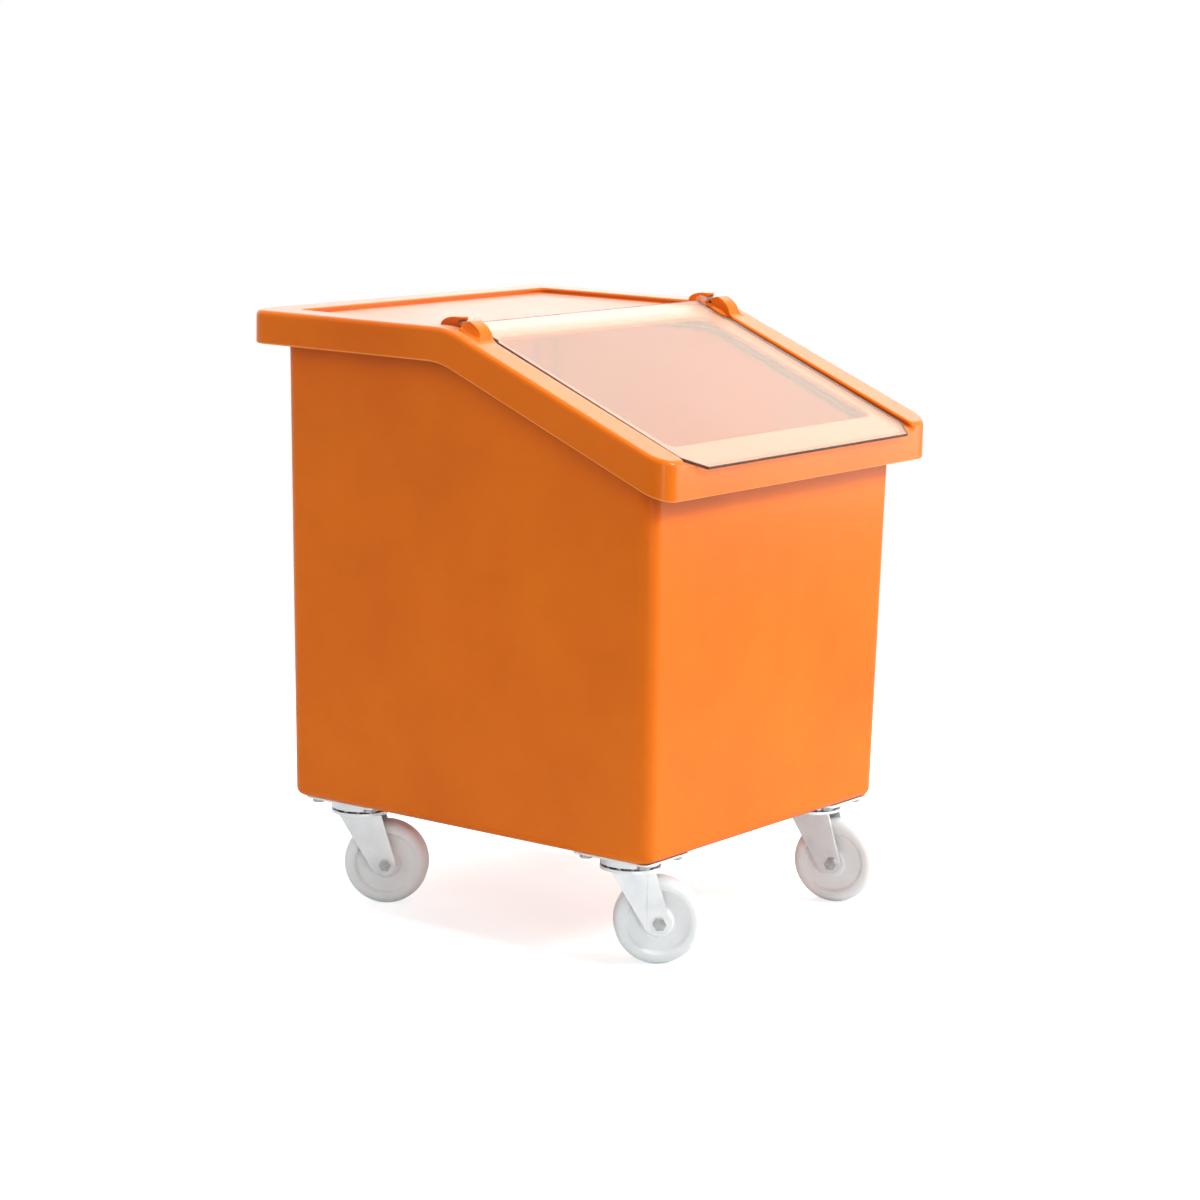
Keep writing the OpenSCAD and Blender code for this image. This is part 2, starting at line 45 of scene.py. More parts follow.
class Finish:
    """A node material with its own small set of noise layers, all in object space."""

    def __init__(self, name):
        self.mat = bpy.data.materials.new(name)
        self.mat.use_nodes = True
        self.tree = self.mat.node_tree
        self.shader = self.tree.nodes["Principled BSDF"]
        self.coord = self.tree.nodes.new("ShaderNodeTexCoord")

    def put(self, **values):
        for key, value in values.items():
            self.shader.inputs[key.replace("_", " ")].default_value = value

    def noise(self, scale, detail=3.0, roughness=0.5, stretch=(1, 1, 1)):
        mapping = self.tree.nodes.new("ShaderNodeMapping")
        mapping.inputs["Scale"].default_value = stretch
        self.tree.links.new(self.coord.outputs["Object"], mapping.inputs["Vector"])
        node = self.tree.nodes.new("ShaderNodeTexNoise")
        node.inputs["Scale"].default_value = scale
        node.inputs["Detail"].default_value = detail
        node.inputs["Roughness"].default_value = roughness
        self.tree.links.new(mapping.outputs["Vector"], node.inputs["Vector"])
        return node.outputs["Fac"]

    def cells(self, scale):
        node = self.tree.nodes.new("ShaderNodeTexVoronoi")
        node.inputs["Scale"].default_value = scale
        self.tree.links.new(self.coord.outputs["Object"], node.inputs["Vector"])
        return node

    def ramp(self, source, stops):
        node = self.tree.nodes.new("ShaderNodeValToRGB")
        ramp = node.color_ramp
        ramp.elements[0].position, ramp.elements[0].color = stops[0][0], stops[0][1]
        ramp.elements[1].position, ramp.elements[1].color = stops[-1][0], stops[-1][1]
        for place, colour in stops[1:-1]:
            ramp.elements.new(place).color = colour
        self.tree.links.new(source, node.inputs["Fac"])
        return node.outputs["Color"]

    def spread(self, source, low, high):
        node = self.tree.nodes.new("ShaderNodeMapRange")
        node.inputs["From Min"].default_value = 0.3
        node.inputs["From Max"].default_value = 0.7
        node.inputs["To Min"].default_value = low
        node.inputs["To Max"].default_value = high
        self.tree.links.new(source, node.inputs["Value"])
        return node.outputs["Result"]

    def bump(self, source, strength, distance, under=None):
        node = self.tree.nodes.new("ShaderNodeBump")
        node.inputs["Strength"].default_value = strength
        node.inputs["Distance"].default_value = distance
        self.tree.links.new(source, node.inputs["Height"])
        if under is not None:
            self.tree.links.new(under, node.inputs["Normal"])
        return node.outputs["Normal"]

    def painted_top_sheen(self, low, high):
        """A sheen weight that grows on faces that look up: a painted sheen that makes the tops paler than the sides."""
        facing = self.tree.nodes.new("ShaderNodeNewGeometry")
        split = self.tree.nodes.new("ShaderNodeSeparateXYZ")
        node = self.tree.nodes.new("ShaderNodeMapRange")
        node.inputs["From Min"].default_value = 0.1
        node.inputs["From Max"].default_value = 0.9
        node.inputs["To Min"].default_value = low
        node.inputs["To Max"].default_value = high
        self.tree.links.new(facing.outputs["Normal"], split.inputs["Vector"])
        self.tree.links.new(split.outputs["Z"], node.inputs["Value"])
        return node.outputs["Result"]

    def painted_shade(self, colour, deepest):
        """The colour with painted shade: darker in tight corners, in recesses and under overhangs, where less light
        reaches.
        """
        corner = self.tree.nodes.new("ShaderNodeAmbientOcclusion")
        corner.samples = 8
        corner.only_local = True
        corner.inputs["Distance"].default_value = 0.045
        # painted shade: the darkest tint where ambient occlusion is low, no tint where the surface is open
        tint = self.ramp(corner.outputs["AO"], [(0.4, deepest), (0.9, (1, 1, 1, 1))])
        mix = self.tree.nodes.new("ShaderNodeMix")
        mix.data_type = "RGBA"
        mix.blend_type = "MULTIPLY"
        mix.inputs["Factor"].default_value = 1.0
        self.tree.links.new(colour, mix.inputs["A"])
        self.tree.links.new(tint, mix.inputs["B"])
        return mix.outputs["Result"]

    def link(self, source, socket):
        self.tree.links.new(source, self.shader.inputs[socket])


def moulded_plastic(name, low, middle, high):
    """Bright orange polyethylene: faint mottling and an orange-peel skin, with painted shade in corners and recesses
    and a painted sheen on faces that look up.
    """
    f = Finish(name)
    f.put(Specular_IOR_Level=0.04, Coat_Weight=0.3, Coat_Roughness=0.2, Sheen_Roughness=0.32,
          Subsurface_Weight=0.15, Subsurface_Scale=0.006, Subsurface_Radius=(1.0, 0.4, 0.08))
    tone = f.noise(6.0, 4.0, 0.55)
    colour = f.ramp(tone, [(0.28, (*low, 1)), (0.5, (*middle, 1)), (0.72, (*high, 1))])
    # painted shade: the colour darkens in corners, in recesses and under the rim's skirt
    f.link(f.painted_shade(colour, (0.34, 0.26, 0.18, 1)), "Base Color")
    # painted sheen: strong on faces that look up, weak on the sides
    f.link(f.painted_top_sheen(0.1, 1.0), "Sheen Weight")
    f.link(f.spread(f.noise(38.0, 5.0, 0.6), 0.38, 0.5), "Roughness")
    peel = f.bump(f.noise(620.0, 2.0, 0.4), 0.12, 0.0005)
    f.link(f.bump(f.noise(9.0, 2.0, 0.4), 0.08, 0.004, peel), "Normal")
    return f.mat


def clear_plastic():
    """Clear sheet, slightly milky, with hairline scratches; its peach tint is painted light, the orange of the moulding
    under it.
    """
    f = Finish("clear_plastic")
    f.put(Alpha=0.24, IOR=1.49, Specular_IOR_Level=0.15, Coat_Weight=0.05, Coat_Roughness=0.08)
    # peach tint: painted light, the orange of the moulding showing through the milky sheet
    f.link(f.ramp(f.noise(5.0, 3.0), [(0.3, (0.90, 0.70, 0.535, 1)), (0.7, (0.94, 0.75, 0.60, 1))]),
           "Base Color")
    f.link(f.spread(f.noise(420.0, 4.0, 0.7, (1, 0.08, 1)), 0.10, 0.22), "Roughness")
    f.link(f.bump(f.noise(300.0, 3.0, 0.6, (1, 0.06, 1)), 0.02, 0.0002), "Normal")
    return f.mat


def painted_gap_shadow():
    """Near-black painted shadow for the lid's edge faces and a thin band round its top, standing in for the shaded gap
    between the lid and the rim.
    """
    f = Finish("painted_gap_shadow")
    f.put(Alpha=0.93, IOR=1.49, Specular_IOR_Level=0.12)
    f.link(f.ramp(f.noise(60.0, 3.0), [(0.3, (0.030, 0.016, 0.008, 1)), (0.7, (0.075, 0.045, 0.026, 1))]), "Base Color")
    f.link(f.spread(f.noise(200.0, 3.0), 0.2, 0.4), "Roughness")
    return f.mat


def clear_clip():
    """The moulded clips on the lid: the same clear plastic, thin and clean."""
    f = Finish("clear_clip")
    f.put(Alpha=0.16, IOR=1.49, Specular_IOR_Level=0.3)
    f.link(f.ramp(f.noise(30.0, 3.0), [(0.3, (0.80, 0.66, 0.52, 1)), (0.7, (0.88, 0.76, 0.62, 1))]), "Base Color")
    f.link(f.spread(f.noise(200.0, 3.0), 0.15, 0.3), "Roughness")
    return f.mat


def zinc_plate():
    """Bright zinc plating: pale, slightly warm, with soft cloudy patches and fine rolled grain."""
    f = Finish("zinc_plate")
    f.put(Metallic=1.0)
    f.link(f.ramp(f.noise(34.0, 5.0, 0.55), [(0.3, (0.74, 0.74, 0.745, 1)), (0.52, (0.82, 0.815, 0.815, 1)),
                                            (0.75, (0.89, 0.88, 0.875, 1))]), "Base Color")
    f.link(f.spread(f.noise(120.0, 4.0, 0.6), 0.3, 0.44), "Roughness")
    grain = f.bump(f.noise(900.0, 2.0, 0.5, (1, 1, 0.12)), 0.08, 0.0003)
    f.link(f.bump(f.noise(40.0, 2.0), 0.05, 0.0006, grain), "Normal")
    return f.mat


def fastener_metal():
    """Plated bolts and nuts: a touch greyer, with turned marks."""
    f = Finish("fastener_metal")
    f.put(Metallic=1.0)
    f.link(f.ramp(f.noise(90.0, 4.0), [(0.3, (0.36, 0.355, 0.35, 1)), (0.7, (0.56, 0.55, 0.54, 1))]), "Base Color")
    f.link(f.spread(f.noise(240.0, 3.0), 0.24, 0.40), "Roughness")
    f.link(f.bump(f.noise(700.0, 2.0), 0.12, 0.0003), "Normal")
    return f.mat


def ball_metal():
    """Hardened steel balls and pins with a thin film of grease."""
    f = Finish("ball_metal")
    f.put(Metallic=1.0, Coat_Weight=0.4, Coat_Roughness=0.2)
    f.link(f.ramp(f.noise(150.0, 3.0), [(0.35, (0.36, 0.35, 0.33, 1)), (0.7, (0.52, 0.51, 0.50, 1))]), "Base Color")
    f.link(f.spread(f.noise(300.0, 3.0), 0.14, 0.30), "Roughness")
    return f.mat


def insert_metal():
    """Brass inserts, dulled in patches."""
    f = Finish("insert_metal")
    f.put(Metallic=1.0)
    f.link(f.ramp(f.noise(160.0, 4.0), [(0.3, (0.48, 0.30, 0.10, 1)), (0.7, (0.72, 0.52, 0.22, 1))]), "Base Color")
    f.link(f.spread(f.noise(260.0, 3.0), 0.26, 0.46), "Roughness")
    f.link(f.bump(f.noise(1100.0, 2.0), 0.15, 0.0003), "Normal")
    return f.mat


def wheel_plastic():
    """Off-white nylon: milky, slightly translucent, a little grey where it has rolled."""
    f = Finish("wheel_plastic")
    f.put(Specular_IOR_Level=0.45, Subsurface_Weight=0.3, Subsurface_Scale=0.006,
          Subsurface_Radius=(1.0, 0.9, 0.75))
    f.link(f.ramp(f.noise(30.0, 5.0, 0.6), [(0.3, (0.86, 0.865, 0.855, 1)), (0.5, (0.90, 0.90, 0.895, 1)),
                                           (0.75, (0.92, 0.92, 0.915, 1))]), "Base Color")
    f.link(f.spread(f.noise(80.0, 4.0), 0.36, 0.52), "Roughness")
    f.link(f.bump(f.noise(500.0, 3.0), 0.16, 0.0004), "Normal")
    return f.mat


ORANGE = moulded_plastic("moulded_plastic", (0.77, 0.146, 0.0008), (0.82, 0.164, 0.001), (0.86, 0.18, 0.0014))
# a paler orange for the skirt's rounded lower lip: a painted highlight for the light that lip catches
PAINTED_LIP_HIGHLIGHT = moulded_plastic("painted_lip_highlight", (0.94, 0.27, 0.04), (0.95, 0.30, 0.06), (0.96, 0.34, 0.08))
CLEAR = clear_plastic()
EDGE = painted_gap_shadow()
CLIP = clear_clip()
ZINC = zinc_plate()
BOLT = fastener_metal()
BALL = ball_metal()
BRASS = insert_metal()
NYLON = wheel_plastic()

FINISHES = {
    "tub": ORANGE, "lid_panel": CLEAR, "lid_pivot": CLIP, "castor_plate": ZINC, "fork": ZINC,
    "plate_bolts": BOLT, "axle_bolt": BOLT, "axle_nut": BOLT, "axle_sleeve": BOLT,
    "king_pin": BALL, "swivel_balls": BALL, "thread_inserts": BRASS, "wheel": NYLON,
}
for name, node in NODES.items():
    start = max((key for key in FINISHES if name.startswith(key)), key=len)
    node.data.materials.clear()
    node.data.materials.append(FINISHES[start])


# ---------- sizes of the moulding, in millimetres ----------

TUB_Y = 5.5
BASE_W, BASE_D, DRAFT_W, DRAFT_D = 472.0, 525.0, 26.0, 6.0
WALL, CORNER_R, BASE_EDGE, BASE_Z = 5.0, 20.0, 10.0, 128.0
RIM_X, RIM_Y, RIM_R, RIM_EDGE = 274.48, 299.7, 28.0, 7.0
RIM_TOP, FRONT_TOP, BREAK_Y, BREAK_R = 707.0, 583.5, 2.8, 90.0
SKIRT_REAR, SKIRT_FRONT, SKIRT_R = 668.0, 539.5, 95.0
RECESS_X, RECESS_REAR, RECESS_H, RECESS_R, NOSE_R = 230.9, 256.75, 7.0, 9.0, 8.0
LEDGE_EDGE = 2.5
SLOPE = math.atan2(RIM_TOP - FRONT_TOP, RIM_Y + BREAK_Y)
SKIRT_BREAK = BREAK_Y + (RIM_TOP - SKIRT_REAR) * math.tan(SLOPE / 2)
SKIRT_SLOPE = math.atan2(SKIRT_REAR - SKIRT_FRONT, RIM_Y + SKIRT_BREAK)
BEND = (BREAK_Y + BREAK_R * math.tan(SLOPE / 2), RIM_TOP - BREAK_R)
SKIRT_BEND = (SKIRT_BREAK + SKIRT_R * math.tan(SKIRT_SLOPE / 2), SKIRT_REAR - SKIRT_R)
OPEN_X, OPEN_R = 205.0, 14.0
OPEN_BACK = 22.0
OPEN_L = (RIM_Y + BREAK_Y) / math.cos(SLOPE) - OPEN_BACK - 40.0
SWELL, SWELL_L, SWELL_AT = 7.0, 26.0, 22.5
SWELL_R = ((SWELL_L / 2) ** 2 + SWELL ** 2) / (2 * SWELL)
LIP = 1.6


def to_row(x, y, z):
    """A point of the moulding in millimetres, as metres in the row frame."""
    return Vector((x, y + TUB_Y, z)) * 0.001


def on_slope_y(v, depth):
    """Plan place of a point v up the slope from the break and depth under the rim's top."""
    return BREAK_Y + v * math.cos(SLOPE) + depth * math.sin(SLOPE)


def layer(y, depth):
    """Height and steepness, at y, of the layer that runs depth under the rim's top."""
    r = BREAK_R - depth
    if y >= BEND[0]:
        return RIM_TOP - depth, 0.0
    if y <= BEND[0] - r * math.sin(SLOPE):
        return RIM_TOP - (BREAK_Y - y) * math.tan(SLOPE) - depth / math.cos(SLOPE), math.tan(SLOPE)
    rise = math.sqrt(r * r - (y - BEND[0]) ** 2)
    return BEND[1] + rise, (BEND[0] - y) / rise


def skirt_low(y, t):
    """Height of the skirt's lower edge at y, raised by t."""
    r = SKIRT_R + t
    if y >= SKIRT_BEND[0]:
        return SKIRT_REAR + t
    if y <= SKIRT_BEND[0] - r * math.sin(SKIRT_SLOPE):
        return SKIRT_FRONT + t / math.cos(SKIRT_SLOPE) + (y + RIM_Y) * math.tan(SKIRT_SLOPE)
    return SKIRT_BEND[1] + math.sqrt(r * r - (y - SKIRT_BEND[0]) ** 2)


def body_rect(z, t, out=0.0):
    """Half width, half depth and corner radius of the body at height z."""
    grow = (z - BASE_Z) / (SKIRT_REAR - BASE_Z)
    return ((BASE_W + DRAFT_W * grow) / 2 - t + out, (BASE_D + DRAFT_D * grow) / 2 - t + out, CORNER_R - t + out)


def carry(p, a, b):
    """The point of rounded rectangle b that matches point p of rounded rectangle a."""
    sx, sy = math.copysign(1, p[0]), math.copysign(1, p[1])
    ax, ay = abs(p[0]), abs(p[1])
    ix, iy = a[0] - a[2], a[1] - a[2]
    jx, jy = b[0] - b[2], b[1] - b[2]
    if ax > ix + 1e-4 and ay > iy + 1e-4:
        turn = math.atan2(ay - iy, ax - ix)
        return sx * (jx + b[2] * math.cos(turn)), sy * (jy + b[2] * math.sin(turn))
    if ax > ix + 1e-4:
        return sx * b[0], p[1] * jy / iy
    return p[0] * jx / ix, sy * b[1]


def rect_loop(rect, steps, gap):
    """Points round a rounded rectangle, with extra points along its straight sides."""
    hx, hy, r = rect
    ix, iy = hx - r, hy - r
    loop = []
    for k, (cx, cy) in enumerate(((ix, iy), (-ix, iy), (-ix, -iy), (ix, -iy))):
        for i in range(steps + 1):
            turn = math.pi / 2 * (k + i / steps)
            loop.append((cx + r * math.cos(turn), cy + r * math.sin(turn)))
        nx, ny = ((-ix, iy), (-ix, -iy), (ix, -iy), (ix, iy))[k]
        end = loop[-1]
        start = ((-ix, hy), (-hx, -iy), (ix, -hy), (hx, iy))[k]
        count = max(1, round(math.dist(end, start) / gap))
        loop += [tuple(Vector(end).lerp(Vector(start), i / count)) for i in range(1, count)]
    return loop


def inset(x, y, rect):
    """Distance inside a rounded rectangle, and the outward direction's y part."""
    hx, hy, r = rect
    qx, qy = abs(x) - (hx - r), abs(y) - (hy - r)
    if qx > 0 and qy > 0:
        reach = math.hypot(qx, qy)
        return r - reach, math.copysign(qy / max(reach, 1e-9), y)
    return (hx - abs(x), 0.0) if hx - abs(x) < hy - abs(y) else (hy - abs(y), math.copysign(1.0, y))


def edge_drop(d, out_y, steep, e):
    """How far a rolled edge of radius e lies under its sloping layer, d inside the outline."""
    w = e - d
    k = math.sqrt(1 + steep * steep)
    along = steep * out_y
    if w <= 0 or w <= -e * along / k:
        return 0.0
    return along * w + e * k - math.sqrt(max(0.0, e * e - w * w)) * math.sqrt(1 + steep * steep - along * along)


def smooth_max(a, b, k):
    h = max(k - abs(a - b), 0.0) / k
    return max(a, b) + h * h * k / 4


def border_side(x, y, t):
    """Signed distance from the recess's wall in plan, above zero on the border."""
    ax = abs(x)
    rx, ry, r = RECESS_X + t, RECESS_REAR + t, RECESS_R + t
    flare_y, flare_r = NOSE_R - RIM_Y, NOSE_R - t
    qx, qy = ax - (rx - r), y - (ry - r)
    side = math.hypot(qx, qy) - r if qx > 0 and qy > 0 else max(ax - rx, y - ry)
    if y < flare_y:
        cx = RECESS_X + NOSE_R
        if ax < cx:
            side = flare_r - math.hypot(ax - cx, y - flare_y)
        else:
            side = math.hypot(ax - cx, y - (flare_y - flare_r))
    if t == 0 and -60 < y < 30:
        cy = on_slope_y(-SWELL_AT, RECESS_H / 2)
        swelling = SWELL_R - math.hypot(ax - (RECESS_X - SWELL + SWELL_R), (y - cy) / math.cos(SLOPE))
        side = smooth_max(side, swelling, 3.0)
    return side


WALL_TOP_R, WALL_FOOT_R = 3.4, 2.2
WALL_ROWS = ([(WALL_TOP_R * (1 - math.sin(a)), -WALL_TOP_R * (1 - math.cos(a)))
              for a in (math.radians(v) for v in (0, 20, 40, 60, 75, 86))]
             + [(-WALL_FOOT_R - 0.2 + WALL_FOOT_R * math.sin(a), WALL_FOOT_R * (1 - math.cos(a)) - RECESS_H)
                for a in (math.radians(v) for v in (86, 70, 52, 34, 17, 0))])


def wall_share(side):
    """1 on the border, 0 on the recess's floor, and between them down the rounded wall."""
    if side >= WALL_ROWS[0][0]:
        return 1.0
    for (s1, h1), (s2, h2) in zip(WALL_ROWS, WALL_ROWS[1:]):
        if side >= s2:
            return 1 + (h2 + (h1 - h2) * (side - s2) / (s1 - s2)) / RECESS_H
    return 0.0


def opening_loop(out, depth, steps=9):
    """The opening's outline in plan, grown by out, at that depth under the rim's top."""
    middle = -OPEN_BACK - OPEN_L / 2
    loop = rect_loop((OPEN_X + out, OPEN_L / 2 + out, OPEN_R + out), steps, 45)
    return [(x, on_slope_y(v + middle, depth)) for x, v in loop]


def opening_out(x, y, depth):
    """Distance outside the opening's outline, measured up the slope."""
    v = (y - on_slope_y(-OPEN_BACK - OPEN_L / 2, depth)) / math.cos(SLOPE)
    return -inset(x, v, (OPEN_X, OPEN_L / 2, OPEN_R))[0]


def top_height(x, y, t):
    """Height of the moulding's upper surface, or with t above 0 of its inner face under it."""
    rect = (RIM_X - t, RIM_Y - t, RIM_R - t)
    d, out_y = inset(x, y, rect)
    high, steep = layer(y, t)
    low, steep_low = layer(y, RECESS_H + t)
    share = wall_share(border_side(x, y, t))
    high -= edge_drop(max(d, 0.0), out_y, steep, RIM_EDGE - t)
    low -= edge_drop(max(d, 0.0), out_y, steep_low, LEDGE_EDGE if t == 0 else 1.0)
    z = low + (high - low) * share
    if t == 0:
        over = opening_out(x, y, RECESS_H)
        if over < LIP:
            z -= (LIP - math.sqrt(max(0.0, LIP ** 2 - (LIP - max(over, 0.0)) ** 2))) / math.cos(SLOPE)
    return z


def wall_row(side, t):
    """The line at that distance from the recess's wall, from the front left round the rear."""
    rx, ry = RECESS_X + t, RECESS_REAR + t
    flare_y, flare_r = NOSE_R - RIM_Y, NOSE_R - t
    cx = RECESS_X + NOSE_R
    half = []
    if side > 0:
        half += [(cx + side * math.sin(math.radians(b)), flare_y - flare_r + side * math.cos(math.radians(b)))
                 for b in (90, 60, 30)]
    r = flare_r - side
    last = 90 if side >= 0 else math.degrees(math.asin(flare_r / r))
    half += [(cx - r * math.cos(math.radians(last * i / 7)), flare_y - r * math.sin(math.radians(last * i / 7)))
             for i in range(7, -1, -1)]
    spots = [flare_y + 25, flare_y + 70, -170, -120, -80, -52, -44] + [-40 + 2 * i for i in range(24)]
    spots += [12, 20, 35, 80, 140, 200]
    for y in spots:
        lo, hi = rx - 14.0, rx + 14.0
        for _ in range(40):
            mid = (lo + hi) / 2
            lo, hi = (mid, hi) if border_side(mid, y, t) < side else (lo, mid)
        half.append((lo, y))
    r = RECESS_R + t + side
    half += [(rx - RECESS_R - t + r * math.cos(math.radians(a)), ry - RECESS_R - t + r * math.sin(math.radians(a)))
             for a in range(0, 91, 9)]
    return half + [(0.0, ry + side)] + [(-x, y) for x, y in reversed(half)]


def triangulate(lines, keep):
    """Joins lines of points (and whether each is closed) into triangles whose middles pass keep."""
    points, edges = [], []
    for line, closed in lines:
        first = len(points)
        points += [Vector(p) for p in line]
        edges += [(first + i, first + i + 1) for i in range(len(line) - 1)]
        if closed:
            edges.append((len(points) - 1, first))
    verts, _, faces, *_ = delaunay_2d_cdt(points, edges, [], 0, 1e-4)
    return verts, [f for f in faces if keep(sum((verts[i] for i in f), Vector((0, 0))) / len(f))]


def boundary_loops(bm, faces):
    """The boundary loops of these faces, as ordered lists of vertices."""
    inside = set(faces)
    after = {}
    for f in faces:
        for loop in f.loops:
            if sum(1 for other in loop.edge.link_faces if other in inside) == 1:
                after[loop.vert] = loop.link_loop_next.vert
    loops = []
    while after:
        start, vert = next(iter(after.items()))
        loop = [start]
        del after[start]
        while vert is not start:
            loop.append(vert)
            vert = after.pop(vert)
        loops.append(loop)
    return sorted(loops, key=lambda l: -max(abs(v.co.x) for v in l))


def sew(bm, one, two, finish=0):
    """A band of quads between two rows of vertices with as many points."""
    for i in range(len(one)):
        j = (i + 1) % len(one)
        bm.faces.new((one[i], one[j], two[j], two[i])).material_index = finish


def shell(bm, t):
    """The whole moulded surface, t inside its outer faces. Returns the opening's edge."""
    edge = RIM_EDGE - t
    rect = (RIM_X - t, RIM_Y - t, RIM_R - t)
    lines = []
    for a in (90, 80, 70, 60, 50, 40, 30, 22, 12, 0):
        d = edge * (1 - math.sin(math.radians(a)))
        lines.append((rect_loop((rect[0] - d, rect[1] - d, rect[2] - d), 10, 50), True))
    for side, _ in WALL_ROWS:
        lines.append((wall_row(side, t), False))
    for i in range(9):
        y = BEND[0] - (BREAK_R - t) * math.sin(SLOPE * i / 8)
        lines.append(([(-rect[0], y), (rect[0], y)], False))
    depth = RECESS_H + t
    rows = (0.0, 0.12, 0.47, 1.0, LIP, 5.0) if t == 0 else (0.0, 5.0)
    for out in rows:
        lines.append((opening_loop(out, depth), True))
    if t == 0:
        for d in (0.05, 0.35, 0.9, 1.7, LEDGE_EDGE):
            lines.append(([(-RECESS_X + 3, d - RIM_Y), (RECESS_X - 3, d - RIM_Y)], False))
    verts, faces = triangulate(lines, lambda c: opening_out(c.x, c.y, depth) > 0)
    used = sorted({i for f in faces for i in f})
    made = {i: bm.verts.new((verts[i].x, verts[i].y, top_height(verts[i].x, verts[i].y, t))) for i in used}
    top = [bm.faces.new([made[i] for i in f]) for f in faces]
    outer, mouth = boundary_loops(bm, top)

    row = outer
    start = [(v.co.x, v.co.y) for v in outer]

    def next_row(points, finish=0):
        nonlocal row
        new = [bm.verts.new(p) for p in points]
        sew(bm, row, new, finish)
        row = new

    foot = 1.8 if t == 0 else 0.8
    fill = 5.0
    for a in (0, 18, 36, 54, 72, 90):
        d = foot * (1 - math.cos(math.radians(a)))
        spots = [carry(p, rect, (rect[0] - d, rect[1] - d, rect[2] - d)) for p in start]
        # the rounded lip rows take the second, paler material: a painted highlight along the skirt's lower edge
        next_row([(x, y, skirt_low(y, t) + foot * (1 - math.sin(math.radians(a)))) for x, y in spots],
                 1 if t == 0 and 0 < a < 60 else 0)
    join = []
    for p in start:
        z = skirt_low(p[1], t)
        for _ in range(6):
            z = skirt_low(carry(p, rect, body_rect(z, t))[1], t)
        join.append(z)
    for a in (0, 18, 36, 54, 72, 90):
        gap = fill * (1 - math.sin(math.radians(a)))
        points = []
        for p, z in zip(start, join):
            x, y = carry(p, rect, body_rect(z, t, gap))
            points.append((x, y, skirt_low(y, t) - fill * (1 - math.cos(math.radians(a)))))
        next_row(points)
    low = BASE_Z + BASE_EDGE
    tops = [v.co.z for v in row]
    for share in (0.06, 0.2, 0.4, 0.6, 0.8, 0.94, 1.0):
        points = []
        for p, z0 in zip(start, tops):
            z = z0 + (low - z0) * share
            points.append((*carry(p, rect, body_rect(z, t)), z))
        next_row(points)
    e = BASE_EDGE - t
    for a in (12, 24, 36, 48, 60, 72, 82, 90):
        back = e * (1 - math.cos(math.radians(a)))
        bx, by, br = body_rect(low, t, -back)
        next_row([(*carry(p, rect, (bx, by, br)), low - e * math.sin(math.radians(a))) for p in start])
    return mouth, row


CASTOR_X = BASE_W / 2 - 50
CASTOR_Y = (57 - BASE_D / 2, BASE_D / 2 - 68)
INSERTS = [(sx * CASTOR_X + bx, cy + by) for cy in CASTOR_Y for sx in (-1, 1) for bx in (-30, 30) for by in (-40, 40)]


def circle(c, r, steps):
    return [(c[0] + r * math.cos(2 * math.pi * i / steps), c[1] + r * math.sin(2 * math.pi * i / steps))
            for i in range(steps)]


def close_bottom(bm, row, holes, r):
    """Fills the row with a flat bottom that leaves a round hole at each given spot. Returns the holes' edges."""
    z = row[0].co.z
    lines = [([(v.co.x, v.co.y) for v in row], True)] + [(circle(c, r, 24), True) for c in holes]
    verts, faces = triangulate(lines, lambda c: all(math.dist(c, h) > r * 0.99 for h in holes))
    made = {}
    for i in {i for f in faces for i in f}:
        near = min(row, key=lambda v: math.dist((v.co.x, v.co.y), verts[i]))
        made[i] = near if math.dist((near.co.x, near.co.y), verts[i]) < 2e-3 else bm.verts.new((*verts[i], z))
    flat = []
    for f in faces:
        if len({made[i] for i in f}) == 3:
            flat.append(bm.faces.new([made[i] for i in f]))
    return [loop for loop in boundary_loops(bm, flat) if max(abs(v.co.x) for v in loop) < BASE_W / 2 - 12
            and len(loop) == 24]


def bore(bm, loop, profile):
    """Raises a turned form from a round hole's edge, through rows of (radius change, height)."""
    centre = sum((v.co for v in loop), Vector()) / len(loop)
    row = loop
    r0 = (loop[0].co - centre).length
    for grow, z in profile:
        new = []
        for v in loop:
            flat_at = centre + (v.co - centre) * ((r0 + grow) / r0)
            new.append(bm.verts.new((flat_at.x, flat_at.y, z)))
        sew(bm, row, new)
        row = new
    bm.faces.new(row)


def boss(bm, centre, profile):
    """A closed turned form on the floor of the tub, from rows of (radius, height)."""
    rows = [[bm.verts.new((*p, z)) for p in circle(centre, r, 24)] for r, z in profile]
    for one, two in zip(rows, rows[1:]):
        sew(bm, one, two)
    bm.faces.new(rows[0][::-1])
    bm.faces.new(rows[-1])


def finish_mesh(name, bm, finish, smooth=True, to_metres=True):
    bmesh.ops.recalc_face_normals(bm, faces=bm.faces)
    if to_metres:
        for v in bm.verts:
            v.co = to_row(*v.co)
    mesh = bpy.data.meshes.new(name)
    bm.to_mesh(mesh)
    bm.free()
    for polygon in mesh.polygons:
        polygon.use_smooth = smooth
    mesh.materials.append(finish)
    thing = bpy.data.objects.new(name, mesh)
    bpy.context.scene.collection.objects.link(thing)
    return thing


def weighted(thing):
    modifier = thing.modifiers.new("even_shading", "WEIGHTED_NORMAL")
    modifier.mode = "FACE_AREA"
    modifier.weight = 100
    return thing


